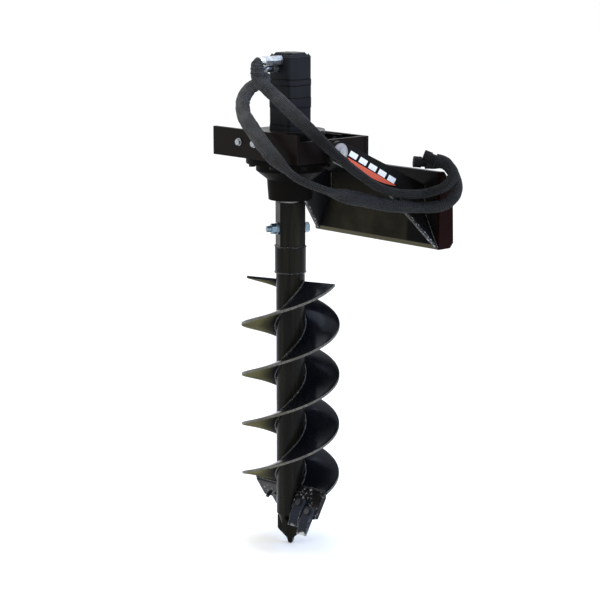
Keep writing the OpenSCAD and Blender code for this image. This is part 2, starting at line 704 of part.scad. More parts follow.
mount_plate();
top_lip();
bottom_lip();
end_plate_left();
end_plate_right();
brace_left();
brace_right();
arm_left();
arm_right();
pivot_pins();
pivot_washers();
pivot_bolts();
hanger_front_plate();
hanger_back_plate();
hanger_end_left();
hanger_end_right();
hanger_base();
hanger_bars();
hanger_bolts();
pivot_bushings();
gearbox_housing();
ring_gear();
gearbox_cover();
flange_bolts();
output_bearings();
output_seal();
motor_flange();
motor_housing();
motor_spacer();
gerotor_section();
valve_plate();
port_housing();
motor_tie_bolts();
port_fittings();
hose_elbows();
hose_1();
hose_2();
hose_end_1();
hose_end_2();
sun_gear();
planet_gear_1();
planet_gear_2();
planet_gear_3();
output_carrier();
planet_pins();
hex_coupler();
coupler_bolt();
coupler_nut();
collar();
pipe();
flight_a();
flight_b();
tooth_holder_a();
tooth_holder_b();
teeth_a();
teeth_b();
tooth_bolts();
pilot_socket();
pilot_bit();
pilot_bolt();
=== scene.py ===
import json
import math

import bpy
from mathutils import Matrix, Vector, noise


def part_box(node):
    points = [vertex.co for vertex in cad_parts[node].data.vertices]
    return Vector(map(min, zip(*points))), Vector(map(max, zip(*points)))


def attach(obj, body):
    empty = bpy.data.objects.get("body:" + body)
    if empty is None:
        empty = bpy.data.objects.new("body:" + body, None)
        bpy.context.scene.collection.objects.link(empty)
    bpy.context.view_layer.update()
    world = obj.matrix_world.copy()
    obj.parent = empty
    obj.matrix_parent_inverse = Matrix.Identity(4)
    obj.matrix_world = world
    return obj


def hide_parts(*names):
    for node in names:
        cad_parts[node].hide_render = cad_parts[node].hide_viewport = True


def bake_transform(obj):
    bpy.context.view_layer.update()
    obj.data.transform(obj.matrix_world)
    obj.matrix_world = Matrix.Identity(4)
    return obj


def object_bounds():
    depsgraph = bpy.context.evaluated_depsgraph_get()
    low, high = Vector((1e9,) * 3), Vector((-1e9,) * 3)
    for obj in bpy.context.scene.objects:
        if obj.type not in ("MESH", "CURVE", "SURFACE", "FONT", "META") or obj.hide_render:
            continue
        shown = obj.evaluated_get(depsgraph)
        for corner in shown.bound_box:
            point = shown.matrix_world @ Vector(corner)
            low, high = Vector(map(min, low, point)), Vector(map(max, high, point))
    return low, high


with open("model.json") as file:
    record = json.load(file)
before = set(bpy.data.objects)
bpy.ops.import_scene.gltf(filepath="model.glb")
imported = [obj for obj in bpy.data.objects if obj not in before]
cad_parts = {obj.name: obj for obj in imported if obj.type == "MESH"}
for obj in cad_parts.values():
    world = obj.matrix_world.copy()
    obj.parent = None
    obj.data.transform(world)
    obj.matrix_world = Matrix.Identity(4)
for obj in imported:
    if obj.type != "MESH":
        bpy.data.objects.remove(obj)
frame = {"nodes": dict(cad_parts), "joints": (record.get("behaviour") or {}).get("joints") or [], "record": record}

cad_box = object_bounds()

# The drive's pivot, from which the routes and the drive's pieces are placed
MM = 0.001
JOINTS = {joint["name"]: joint for joint in frame["joints"]}
PIVOT = Vector(JOINTS["drive_swing"]["pos_m"])


def at(x, y, z):
    """A point given in millimetres from the pivot centre."""
    return PIVOT + Vector((x, y, z)) * MM


# Camera at the photograph's angle, in metres, with its lens in millimetres
AZIMUTH = math.radians(47.69)
ELEVATION = math.radians(11.61)
DISTANCE = 5.534
LENS = 107.66
AIM_RIGHT = 0.0293
AIM_DOWN = 0.4764


def add_camera():
    level = math.cos(ELEVATION)
    back = Vector((math.sin(AZIMUTH) * level, -math.cos(AZIMUTH) * level, math.sin(ELEVATION)))
    right = Vector((math.cos(AZIMUTH), math.sin(AZIMUTH), 0))
    aim = PIVOT + right * AIM_RIGHT - Vector((0, 0, AIM_DOWN))
    camera = bpy.data.objects.new("camera", bpy.data.cameras.new("camera"))
    camera.data.lens = LENS
    camera.location = aim + back * DISTANCE
    camera.rotation_euler = (-back).to_track_quat("-Z", "Y").to_euler()
    bpy.context.scene.collection.objects.link(camera)
    bpy.context.scene.camera = camera


add_camera()


# Node trees
class Shader:
    """A material with short calls that add nodes and join them."""

    def __init__(self, name, **values):
        self.material = bpy.data.materials.new(name)
        self.material.use_nodes = True
        self.tree = self.material.node_tree
        self.surface = self.tree.nodes["Principled BSDF"]
        self.place = self.add("ShaderNodeTexCoord").outputs["Object"]
        for socket, value in values.items():
            self.give(socket.replace("_", " ").title().replace("Ior", "IOR"), value)

    def put(self, node, socket, value):
        """Links a socket to a node's input, or sets a constant there."""
        if isinstance(value, bpy.types.NodeSocket):
            self.tree.links.new(value, node.inputs[socket])
        elif isinstance(value, tuple) and len(value) == 3 and len(node.inputs[socket].default_value) == 4:
            node.inputs[socket].default_value = (*value, 1)
        else:
            node.inputs[socket].default_value = value

    def give(self, socket, value):
        """Links or sets an input of the surface."""
        self.put(self.surface, socket, value)

    def cover(self, share, colour):
        """Lays a colour over the base colour so far."""
        base = self.surface.inputs["Base Color"].links[0].from_socket
        self.give("Base Color", self.mix(share, base, colour))

    def add(self, kind, inputs=None, **settings):
        node = self.tree.nodes.new(kind)
        for name, value in settings.items():
            setattr(node, name, value)
        for socket, value in (inputs or {}).items():
            self.put(node, socket, value)
        return node

    def noise(self, scale, detail=4, rough=0.55, place=None):
        inputs = {"Vector": place or self.place, "Scale": scale, "Detail": detail, "Roughness": rough}
        return self.add("ShaderNodeTexNoise", inputs).outputs["Fac"]

    def span(self, value, low, high, to_low=0.0, to_high=1.0):
        inputs = {"Value": value, "From Min": low, "From Max": high, "To Min": to_low, "To Max": to_high}
        return self.add("ShaderNodeMapRange", inputs).outputs["Result"]

    def math(self, operation, a, b=0.0):
        return self.add("ShaderNodeMath", {0: a, 1: b}, operation=operation).outputs[0]

    def mix(self, share, a, b):
        node = self.add("ShaderNodeMix", {0: share}, data_type="RGBA")
        self.put(node, 6, a)
        self.put(node, 7, b)
        return node.outputs[2]

    def rounded(self, radius):
        """The normal that edges would have if they were rounded."""
        return self.add("ShaderNodeBevel", {"Radius": radius}, samples=4).outputs["Normal"]

    def edges(self, normal):
        """1 along sharp edges, 0 on flat faces."""
        true = self.add("ShaderNodeNewGeometry").outputs["Normal"]
        agree = self.add("ShaderNodeVectorMath", {0: normal, 1: true}, operation="DOT_PRODUCT")
        return self.span(agree.outputs["Value"], 0.985, 0.86)

    def bump(self, height, strength, distance, normal=None):
        inputs = {"Height": height, "Strength": strength, "Distance": distance}
        if normal is not None:
            inputs["Normal"] = normal
        self.give("Normal", self.add("ShaderNodeBump", inputs).outputs["Normal"])

    def normal_part(self, axis):
        normal = self.add("ShaderNodeNewGeometry").outputs["Normal"]
        return self.add("ShaderNodeSeparateXYZ", {0: normal}).outputs[axis]

    def place_part(self, axis):
        return self.add("ShaderNodeSeparateXYZ", {0: self.place}).outputs[axis]


# Radius of the rounding that paint shows at edges, and of that on the teeth, in metres
EDGE_ROUND = 0.0022
TOOTH_ROUND = 0.0026
# Squares of the distances from the bit's axis, in metres, between which the painted reflection of the ground on
# undersides grows from dark near the pipe to full
REFLECTION_FROM = 0.0030
REFLECTION_FULL = 0.0105


def paint(name, colour, dust, rough=0.3, dusty=0.5, spec=0.075, coat=0.02,
          under=None, reflection_streak=0.0, glint=None):
    """Enamel: dust in patches and on upper faces, edges rubbed pale, uneven gloss, painted reflection streaks
    where asked, and on undersides a painted reflection of the ground, darker near the pipe as grime and painted
    shade.
    """
    s = Shader(name)
    edge_normal = s.rounded(EDGE_ROUND)
    patches = s.span(s.noise(7, 6), 0.45, 0.75)
    specks = s.span(s.noise(140, 3), 0.6, 0.75)
    upper = s.span(s.normal_part("Z"), 0.3, 1.0, 0.0, 0.7)
    share = s.math("MULTIPLY", s.math("ADD", patches, upper), dusty)
    share = s.math("MINIMUM", s.math("ADD", share, s.math("MULTIPLY", specks, 0.15 * dusty)), 1.0)
    tint = s.mix(share, colour, dust)
    # Painted reflection: tall streaks toward the dust colour stand in for reflections running down the pipe
    if reflection_streak:
        tall = s.add("ShaderNodeMapping", {"Vector": s.place, "Scale": (60, 60, 2.5)}).outputs["Vector"]
        runs = s.span(s.noise(1, 4, 0.6, tall), 0.45, 0.7, 0.0, reflection_streak)
        tint = s.mix(runs, tint, dust)
    # Undersides: the under colour is a painted reflection of the ground, fading near the pipe to black as grime
    # and painted shade
    if under:
        below = s.span(s.normal_part("Z"), -0.35, -0.85)
        dull = s.math("MULTIPLY", below, 0.9)
        below = s.math("MULTIPLY", below, s.span(s.noise(11, 5), 0.3, 0.6, 0.45, 1.0))
        off = s.math("SUBTRACT", s.place_part("Y"), PIVOT.y)
        square = s.math("ADD", s.math("POWER", s.place_part("X"), 2.0), s.math("POWER", off, 2.0))
        below = s.math("MULTIPLY", below, s.span(square, REFLECTION_FROM, REFLECTION_FULL, 0.06, 1.0))
        tint = s.mix(below, tint, under)
    rub = s.math("MULTIPLY", s.edges(edge_normal), s.span(s.noise(55, 5, 0.65), 0.4, 0.62, 0.1, 0.6))
    s.give("Base Color", s.mix(rub, tint, tuple(1.6 * c for c in dust)))
    gloss = s.span(s.noise(16, 5), 0.3, 0.7, rough - 0.08, rough + 0.16)
    s.give("Roughness", s.math("MAXIMUM", gloss, dull) if under else gloss)
    s.give("Specular IOR Level", spec)
    if glint:
        s.give("Specular Tint", (*glint, 1))
    s.give("Coat Weight", coat)
    s.give("Coat Roughness", 0.16)
    s.bump(s.noise(260, 2), 0.12, 0.0006, edge_normal)
    return s


def zinc(name, colour, rough=0.3):
    """Plated metal with darker stains and uneven gloss."""
    s = Shader(name, metallic=0.9)
    stain = s.span(s.noise(60, 5), 0.4, 0.75)
    s.give("Base Color", s.mix(stain, colour, tuple(0.55 * c for c in colour)))
    s.give("Roughness", s.span(s.noise(90, 3), 0.3, 0.7, rough - 0.08, rough + 0.18))
    s.bump(s.noise(500, 2), 0.08, 0.0004)
    return s


# Heights, in metres, between which the elbows pass from bright to darker
BRIGHT_ABOVE = 0.458
DARK_BELOW = 0.452


def elbow_zinc(name):
    """The hose elbows: bright on the upper one, darker on the lower one."""
    s = zinc(name, (0.62, 0.65, 0.67), 0.2)
    darkened = s.span(s.place_part("Z"), BRIGHT_ABOVE, DARK_BELOW, 0.0, 0.75)
    s.cover(darkened, (0.03, 0.03, 0.032))
    return s


def ground_steel(name, colour, grain):
    """Bare steel worn bright by the ground, with dark pits and rust-brown dirt in them."""
    s = Shader(name)
    worn = s.span(s.noise(grain, 6), 0.38, 0.62)
    dirt = s.span(s.noise(15, 5), 0.5, 0.75)
    bare = s.mix(worn, (0.03, 0.03, 0.03), colour)
    s.give("Base Color", s.mix(dirt, bare, (0.06, 0.048, 0.034)))
    s.give("Metallic", s.math("MULTIPLY", worn, 0.85))
    s.give("Roughness", s.span(worn, 0, 1, 0.6, 0.34))
    s.bump(s.noise(180, 4), 0.3, 0.0008)
    return s


# Threads of a sleeve's weave around it, and along one UV length of it
WEAVE_AROUND = 11
WEAVE_ALONG = 30
# UV length from the upper end over which a sleeve is fully lit, in painted light
LIT_TO = 0.3


def woven(name, colour, pale, lit_amount, shaded_amount, lit_end):
    """A woven sleeve: a basket weave from the tube's UVs, rubbed in patches, painted lighter toward its upper end
    as light and darker toward its lower end as shade.
    """
    s = Shader(name, sheen_weight=0.03, sheen_roughness=0.5, specular_ior_level=0.08)
    uv = s.add("ShaderNodeTexCoord").outputs["UV"]
    part = s.add("ShaderNodeSeparateXYZ", {0: uv})
    around = s.math("MULTIPLY", part.outputs["X"], WEAVE_AROUND * math.tau)
    along = s.math("MULTIPLY", part.outputs["Y"], WEAVE_ALONG * math.tau)
    over = s.math("SINE", s.math("ADD", around, along))
    under = s.math("SINE", s.math("SUBTRACT", around, along))
    weave = s.span(s.math("MULTIPLY", over, under), -0.6, 0.6)
    rubbed = s.span(s.noise(26, 6), 0.4, 0.7)
    fibre = s.span(s.noise(260, 4, 0.65), 0.36, 0.66)
    # Painted light and shade: the upper end is painted lighter, as lit, and the lower end darker, as shaded
    upper = s.span(part.outputs["Y"], lit_end, LIT_TO)
    tints = []
    for amount in (shaded_amount, lit_amount):
        dark = tuple(0.15 * amount * c for c in colour)
        light = tuple(1.5 * amount * c for c in colour)
        thread = s.mix(weave, dark, light)
        worn = tuple(amount * c for c in pale)
        thread = s.mix(s.math("MULTIPLY", s.math("MULTIPLY", rubbed, weave), 0.8), thread, worn)
        tints.append(s.mix(s.math("MULTIPLY", fibre, 0.45), thread, worn))
    s.give("Base Color", s.mix(upper, *tints))
    s.give("Roughness", s.span(rubbed, 0, 1, 0.7, 0.9))
    s.bump(s.math("ADD", weave, s.math("MULTIPLY", fibre, 0.4)), 0.9, 0.0018)
    return s


def rubber(name, colour):
    """Moulded rubber, greyed in patches."""
    s = Shader(name, specular_ior_level=0.1)
    grey = s.span(s.noise(30, 5), 0.4, 0.8)
    s.give("Base Color", s.mix(grey, colour, tuple(2.2 * c for c in colour)))
    s.give("Roughness", s.span(s.noise(80, 3), 0.3, 0.7, 0.55, 0.8))
    s.bump(s.noise(400, 2), 0.15, 0.0005)
    return s


def vinyl(name, colour):
    """A printed stripe, scuffed where it has been rubbed."""
    s = Shader(name)
    scuff = s.span(s.noise(70, 6, 0.7), 0.58, 0.72)
    worn = tuple(0.35 * c for c in colour)
    s.give("Base Color", s.mix(s.math("MULTIPLY", scuff, 0.5), colour, worn))
    s.give("Roughness", s.span(s.noise(30), 0.3, 0.7, 0.35, 0.55))
    return s


BLACK = (0.0034, 0.0034, 0.0038)
DUST = (0.014, 0.013, 0.0112)


def weld(name):
    """A painted weld bead: black, with painted glints on its ripples, bright specks laid into its colour."""
    s = paint(name, BLACK, DUST, rough=0.2, dusty=0.3, spec=0.3, coat=0.15)
    # Painted highlight: sparse bright specks in the colour stand in for glints
    glint = s.span(s.noise(300, 3, 0.7), 0.6, 0.66)
    s.cover(s.math("MULTIPLY", glint, 0.8), (0.3, 0.3, 0.31))
    return s


# The right brace's heel, toe and foot, in millimetres from the pivot
BRACE = [(217, 365, -215), (217, 200, -134), (275, 365, -325)]
# Where the band along a brace's free edge ends and where it is full, in metres from that edge. The band is painted
# as the lit edge face, with paint chips and painted glints
BAND_END = 0.0115
BAND_FULL = 0.0085


def brace_paint():
    """A brace: black, with a band along its flame-cut free edge painted as the lit edge face, its specks partly
    bare steel through paint chips and partly painted glints.
    """
    s = paint("brace_paint", BLACK, DUST, rough=0.3, dusty=0.3)
    heel, toe, foot = (at(*corner) for corner in BRACE)
    run = (toe - foot).normalized()
    inward = (heel - foot) - (heel - foot).dot(run) * run
    inward.normalize()
    depth = s.math("MULTIPLY", s.math("ABSOLUTE", s.place_part("X")), inward.x)
    depth = s.math("ADD", depth, s.math("MULTIPLY", s.place_part("Y"), inward.y))
    depth = s.math("ADD", depth, s.math("MULTIPLY", s.place_part("Z"), inward.z))
    band = s.span(s.math("SUBTRACT", depth, foot.dot(inward)), BAND_END, BAND_FULL)
    # Partly painted light: the band is lighter, as the lit edge face, and its pale specks are partly paint chips
    # and partly painted glints
    edge_chips_and_glints = s.span(s.noise(150, 4, 0.75), 0.55, 0.61)
    edge_chips_and_glints = s.math("MULTIPLY", edge_chips_and_glints, s.span(s.noise(24, 3), 0.38, 0.55))
    s.cover(band, s.mix(edge_chips_and_glints, (0.020, 0.020, 0.020), (0.62, 0.62, 0.61)))
    return s


# Sections of the motor with a joint at their tops. In metres from it, where its dark line ends and where it
# is full, and how far the line wanders
MOTOR_STACK = ("motor_flange", "motor_housing", "motor_spacer", "gerotor_section", "valve_plate")
JOINT_END = 0.0026
JOINT_FULL = 0.0012
JOINT_WANDER = 0.0022


def motor_paint():
    """The motor's enamel, with a dark uneven joint where each bolted section meets the next."""
    s = paint("motor_paint", (0.0075, 0.0083, 0.0108), (0.019, 0.020, 0.024), rough=0.42, dusty=0.45)
    wander = s.span(s.noise(22, 3), 0.2, 0.8, -JOINT_WANDER, JOINT_WANDER)
    height = s.math("ADD", s.place_part("Z"), wander)
    gap = None
    for node in MOTOR_STACK:
        away = s.math("ABSOLUTE", s.math("SUBTRACT", height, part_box(node)[1].z))
        near = s.span(away, JOINT_END, JOINT_FULL)
        gap = near if gap is None else s.math("MAXIMUM", gap, near)
    s.cover(gap, (0.0009, 0.0009, 0.001))
    return s


# Where the plate's brown, a painted reflection of the ground, gives way to black painted shade, in metres:
# outward, upward, and on the front by the right brace's foot, where the black is a painted shadow and
# reflection of the brace, outward and downward. Then where the painted highlight along the lower rim ends and
# where it is full, above the foot of the plate
BLACK_OUT = (0.195, 0.235)
BLACK_UP = (0.025, 0.085)
FOOT_OUT = (0.136, 0.146)
FOOT_DOWN = (-0.036, -0.050)
RIM_END = 0.0036
RIM_FULL = 0.0024


def plate_paint():
    """The plate: brown in the middle as a painted reflection of the ground, black at the sides, the top and a foot
    as painted shade and the brace's painted shadow, with a painted highlight along its lower rim.
    """
    # The brown colour and its mottled patches are a painted reflection of the ground
    s = paint("plate_paint", (0.0105, 0.0098, 0.0066), (0.034, 0.0305, 0.0195), rough=0.5, dusty=0.8,
              spec=0.03, coat=0.0)
    across = s.place_part("X")
    height = s.place_part("Z")
    # Painted shade: black toward the sides and the top. By the right brace's foot, on the front only: a painted
    # shadow and reflection of the brace
    ragged = s.span(s.noise(9, 4), 0.3, 0.7, -0.015, 0.015)
    wide = s.math("ADD", s.math("ABSOLUTE", across), ragged)
    shaded_sides = s.math("MAXIMUM", s.span(wide, *BLACK_OUT), s.span(height, *BLACK_UP))
    foot = s.math("MULTIPLY", s.span(across, *FOOT_OUT), s.span(height, *FOOT_DOWN))
    front = s.span(s.normal_part("Y"), -0.5, -0.9)
    foot = s.math("MULTIPLY", foot, front)
    s.cover(s.math("MAXIMUM", s.math("MULTIPLY", shaded_sides, 0.85), foot), BLACK)
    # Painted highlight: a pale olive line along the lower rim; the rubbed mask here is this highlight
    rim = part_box("mount_plate")[0].z
    rubbed = s.span(height, rim + RIM_END, rim + RIM_FULL, 0.0, 0.8)
    s.cover(rubbed, (0.115, 0.108, 0.070))
    return s


def chipped_and_glinting(name, bare_from):
    """Black paint that spatter and soil have worn to small bright chips, which also stand in as painted glints."""
    s = paint(name, BLACK, DUST, rough=0.24, dusty=0.3, spec=0.12)
    # Partly painted highlight: the bright marks are chips of bare steel and painted glints
    chips_and_glints = s.span(s.noise(120, 4, 0.7), bare_from, bare_from + 0.08)
    chips_and_glints = s.math("MULTIPLY", chips_and_glints, s.span(s.noise(22, 3), 0.42, 0.62))
    s.cover(chips_and_glints, (0.34, 0.34, 0.35))
    return s


def tooth_paint():
    """A tooth: blue-black, worn to bare steel at its tip and along its edges."""
    s = paint("tooth_paint", (0.0075, 0.0100, 0.0168), (0.024, 0.028, 0.036), rough=0.26, dusty=0.45,
              spec=0.12)
    uv = s.add("ShaderNodeTexCoord").outputs["UV"]
    along = s.add("ShaderNodeSeparateXYZ", {0: uv}).outputs["Y"]
    tip = s.math("ADD", along, s.span(s.noise(60, 4), 0.3, 0.7, -0.12, 0.12))
    edge = s.math("MULTIPLY", s.edges(s.rounded(TOOTH_ROUND)), s.span(s.noise(90, 4), 0.4, 0.55))
    edge = s.math("MULTIPLY", edge, s.span(along, 0.2, 0.6, 0.15, 0.9))
    bare = s.math("MAXIMUM", s.span(tip, 0.9, 1.04), edge)
    s.cover(bare, (0.42, 0.42, 0.41))
    return s


MATERIALS = {
    "black_paint": paint("black_paint", BLACK, DUST, rough=0.28, dusty=0.35),
    "plate_paint": plate_paint(),
    "motor_paint": motor_paint(),
    "gear_paint": paint("gear_paint", (0.0042, 0.0039, 0.0036), (0.0100, 0.0092, 0.0075), rough=0.34,
                        dusty=0.25, spec=0.012, coat=0.0),
    # bit_paint: its olive dust colour also carries the painted reflection streaks
    "bit_paint": paint("bit_paint", (0.0030, 0.0029, 0.0022), (0.019, 0.0175, 0.0105), rough=0.2, dusty=0.2,
                       reflection_streak=0.55),
    # The flights' under colour is a painted olive reflection of the ground on their undersides
    "flight_paint": paint("flight_paint", (0.0026, 0.0030, 0.0046), (0.010, 0.0105, 0.0118), rough=0.15,
                          dusty=0.22, spec=0.09, coat=0.0, under=(0.122, 0.111, 0.044),
                          glint=(0.45, 0.64, 1.0)),
    # The reddish tint of hanger_paint and end_paint is a painted reflection
    "hanger_paint": paint("hanger_paint", (0.0050, 0.0030, 0.0029), (0.0140, 0.0098, 0.0092), rough=0.34,
                          dusty=0.35, spec=0.05),
    "end_paint": paint("end_paint", (0.0076, 0.0018, 0.0018), (0.0170, 0.0058, 0.0056), rough=0.34,
                       dusty=0.35, spec=0.02, coat=0.0),
    "tooth_paint": tooth_paint(),
    "holder_paint": chipped_and_glinting("holder_paint", 0.56),
    "brace_paint": brace_paint(),
    "zinc": zinc("zinc", (0.43, 0.45, 0.47)),
    "elbow_zinc": elbow_zinc("elbow_zinc"),
    "blued_zinc": zinc("blued_zinc", (0.21, 0.30, 0.37), 0.24),
    "pale_zinc": zinc("pale_zinc", (0.36, 0.335, 0.35), 0.5),
    "steel": zinc("steel", (0.40, 0.40, 0.41), 0.34),
    "soiled_bolt": zinc("soiled_bolt", (0.055, 0.056, 0.06), 0.36),
    "edge_steel": ground_steel("edge_steel", (0.135, 0.133, 0.108), 170),
    "weld": weld("weld"),
    "sleeve": woven("sleeve", (0.0095, 0.010, 0.0112), (0.044, 0.045, 0.048), 1.7, 0.42, 0.8),
    "faded_sleeve": woven("faded_sleeve", (0.022, 0.0225, 0.024), (0.098, 0.099, 0.103), 1.4, 0.36, 1.1),
    "cap_rubber": rubber("cap_rubber", (0.0042, 0.0042, 0.0047)),
    "white_stripe": vinyl("white_stripe", (0.78, 0.78, 0.76)),
    "orange_stripe": vinyl("orange_stripe", (0.62, 0.085, 0.035)),
}


def wear(obj, name):
    """Gives an object one material in place of what it had."""
    obj.data.materials.clear()
    obj.data.materials.append(MATERIALS[name].material)


# Looks of the CAD nodes: by node, or else by the record's material slot
SLOT_LOOK = {"black_paint": "black_paint", "motor_paint": "motor_paint", "zinc": "zinc", "steel": "steel",
             "hose_sleeve": "sleeve", "cap_rubber": "cap_rubber"}
NODE_LOOK = {"mount_plate": "plate_paint", "bottom_lip": "plate_paint", "brace_left": "brace_paint",
             "brace_right": "brace_paint", "end_plate_left": "end_paint", "end_plate_right": "end_paint",
             "hanger_front_plate": "hanger_paint", "hanger_back_plate": "hanger_paint",
             "hanger_end_left": "hanger_paint", "hanger_end_right": "hanger_paint",
             "hex_coupler": "bit_paint", "collar": "bit_paint", "pipe": "bit_paint",
             "coupler_bolt": "blued_zinc", "coupler_nut": "blued_zinc", "pivot_washers": "pale_zinc",
             "teeth_a": "tooth_paint", "teeth_b": "tooth_paint", "pilot_bit": "bit_paint",
             "pilot_socket": "bit_paint", "tooth_holder_a": "holder_paint", "tooth_holder_b": "holder_paint",
             "tooth_bolts": "soiled_bolt", "pilot_bolt": "bit_paint", "flange_bolts": "black_paint",
             "hose_elbows": "elbow_zinc", "gearbox_housing": "gear_paint", "ring_gear": "gear_paint"}
for part in frame["record"]["subparts"]:
    node = part["node"]
    look = NODE_LOOK[node] if node in NODE_LOOK else SLOT_LOOK[part["material_slot"]]
    wear(frame["nodes"][node], look)


# Mesh building
def new_object(name, points, faces, look, body, uvs=None, smooth=True):
    """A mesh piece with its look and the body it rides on."""
    mesh = bpy.data.meshes.new(name)
    mesh.from_pydata([tuple(p) for p in points], [], faces)
    if uvs is not None:
        layer = mesh.uv_layers.new(name="UVMap")
        for loop in mesh.loops:
            layer.data[loop.index].uv = uvs[loop.vertex_index]
    mesh.polygons.foreach_set("use_smooth", [smooth] * len(mesh.polygons))
    mesh.update()
    obj = bpy.data.objects.new(name, mesh)
    bpy.context.scene.collection.objects.link(obj)
    wear(obj, look)
    if body:
        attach(obj, body)
    return obj


def smooth_path(points, fine):
    """A Catmull-Rom curve through the points, with straight run-outs at both ends."""
    p = [2 * points[0] - points[1], *points, 2 * points[-1] - points[-2]]
    path = []
    for i in range(1, len(p) - 2):
        a, b, c, d = p[i - 1:i + 3]
        for k in range(fine):
            t = k / fine
            path.append(0.5 * (2 * b + (c - a) * t + (2 * a - 5 * b + 4 * c - d) * t ** 2
                               + (3 * b - a - 3 * c + d) * t ** 3))
    path.append(points[-1].copy())
    return path


def frames_along(path, first=None, last=None):
    """Headings and side directions that turn with the path without twisting."""
    count = len(path)
    headings = [(path[min(i + 1, count - 1)] - path[max(i - 1, 0)]).normalized() for i in range(count)]
    headings[0] = first or headings[0]
    headings[-1] = last or headings[-1]
    side = headings[0].orthogonal().normalized()
    sides = []
    for heading in headings:
        side = (side - side.dot(heading) * heading).normalized()
        sides.append(side)
    return headings, sides


def tube_faces(rings, sides, closed):
    """Faces between rings of points, joined end to start where closed and capped where not."""
    faces = []
    for i in range(rings if closed else rings - 1):
        for k in range(sides):
            n, m = (i + 1) % rings, (k + 1) % sides
            faces.append((i * sides + k, i * sides + m, n * sides + m, n * sides + k))
    if not closed:
        faces.append(tuple(range(sides - 1, -1, -1)))
        faces.append(tuple((rings - 1) * sides + k for k in range(sides)))
    return faces


# Flights, in millimetres and degrees
PIPE_R = 44.45
AUGER_R = 152.5
FLIGHT_TOP = -417
FLIGHT_LENGTH = 650
FLIGHT_PITCH = 318
FLIGHT_TURN = 360 * FLIGHT_LENGTH / FLIGHT_PITCH
FLIGHT_THICK = 8
FLIGHT_RIM = 1.6
START_TURN = 21
FLIGHT_STEPS = 520
FLIGHT_COLUMNS = 9
DENT_DEPTH = 0.5


def on_helix(share, radius, turn, rise=0.0):
    """A point of a flight's middle surface, share from its top (0) to its lower end (1)."""
    angle = math.radians(START_TURN + turn - FLIGHT_TURN * share)
    return at(radius * math.cos(angle), radius * math.sin(angle), FLIGHT_TOP - FLIGHT_LENGTH * share + rise)


def add_flight(name, turn):
    """A helical plate with a rounded rim that the ground has worn bright."""
    half = FLIGHT_THICK / 2
    flat_end = AUGER_R - FLIGHT_RIM
    across = [(PIPE_R, half)]
    for k in range(1, FLIGHT_COLUMNS + 1):
        across.append((PIPE_R + (flat_end - PIPE_R) * k / FLIGHT_COLUMNS, half))
    for a in (math.radians(30), math.radians(60), math.radians(90)):
        across.append((AUGER_R - FLIGHT_RIM * (1 - math.sin(a)), half - FLIGHT_RIM * (1 - math.cos(a))))
    across += [(r, -h) for r, h in reversed(across)]
    verts = []
    for i in range(FLIGHT_STEPS + 1):
        share = i / FLIGHT_STEPS
        for k, (radius, rise) in enumerate(across):
            dent = 0.0
            if radius > flat_end - 1:
                dent = noise.noise(Vector((share * 23, k * 0.21, turn)))
            verts.append(on_helix(share, radius - DENT_DEPTH * max(0.0, dent), turn, rise))
    count = len(across)
    faces = tube_faces(FLIGHT_STEPS + 1, count, False)
    flight = new_object(name + "_plate", verts, faces, "flight_paint", "auger")
    flight.data.materials.append(MATERIALS["edge_steel"].material)
    for face in flight.data.polygons:
        columns = [v % count for v in face.vertices]
        on_rim = min(columns) >= FLIGHT_COLUMNS and max(columns) < count - FLIGHT_COLUMNS
        if len(columns) == 4 and on_rim:
            face.material_index = 1
    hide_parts(name)


add_flight("flight_a", 0)
add_flight("flight_b", 180)


# Hanger bolts, in millimetres: their places on the box, the points round each, then the sizes of a bolt
BOLT_STEP = 69
BOLT_HIGH = 18
BOX_DEPTH = 145
BOLT_SIDES = 36
SHANK_R = 8
SHANK_LONG = 26
WASHER_R = 11.8
WASHER_THICK = 2.4
WASHER_EDGE = 0.4
HEAD_FLAT = 8.6
HEAD_TOP = 9.4
HEAD_CHAMFER = 1.2
CHAMFER_R = 8.7
DISH_R = 6.5
DISH_DEEP = 0.4


def hex_reach(turn, flat):
    """How far a hexagon with that distance to its flats reaches at a turn."""
    return flat / math.cos((turn + math.pi / 6) % (math.pi / 3) - math.pi / 6)


def add_hanger_bolts():
    """Shank, washer and chamfered hexagon head of each bolt through the hanger's front and back plates."""
    # Each ring's distance out from the plate, with its radius, its distance to the flats, or both
    rings = [(-SHANK_LONG, SHANK_R, None), (0, SHANK_R, None),
             (0, WASHER_R, None), (WASHER_THICK - WASHER_EDGE, WASHER_R, None),
             (WASHER_THICK, WASHER_R - WASHER_EDGE, None), (WASHER_THICK, None, HEAD_FLAT),
             (HEAD_TOP - HEAD_CHAMFER, None, HEAD_FLAT), (HEAD_TOP, CHAMFER_R, HEAD_FLAT),
             (HEAD_TOP, DISH_R, None), (HEAD_TOP - DISH_DEEP, DISH_R - DISH_DEEP, None)]
    verts, faces = [], []
    for side in (-1, 1):
        for i in (-1, 0, 1):
            first = len(verts)
            for out, radius, flat in rings:
                for k in range(BOLT_SIDES):
                    turn = -side * math.tau * k / BOLT_SIDES
                    reach = hex_reach(turn, flat) if flat else radius
                    if flat and radius:
                        reach = min(reach, radius)
                    x = i * BOLT_STEP + reach * math.cos(turn)
                    z = BOLT_HIGH + reach * math.sin(turn)
                    verts.append(at(x, side * (BOX_DEPTH + out), z))
            faces += [tuple(first + v for v in face) for face in tube_faces(len(rings), BOLT_SIDES, False)]
    bolts = new_object("hanger_bolt_set", verts, faces, "zinc", "drive", smooth=False)
    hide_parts("hanger_bolts")


add_hanger_bolts()


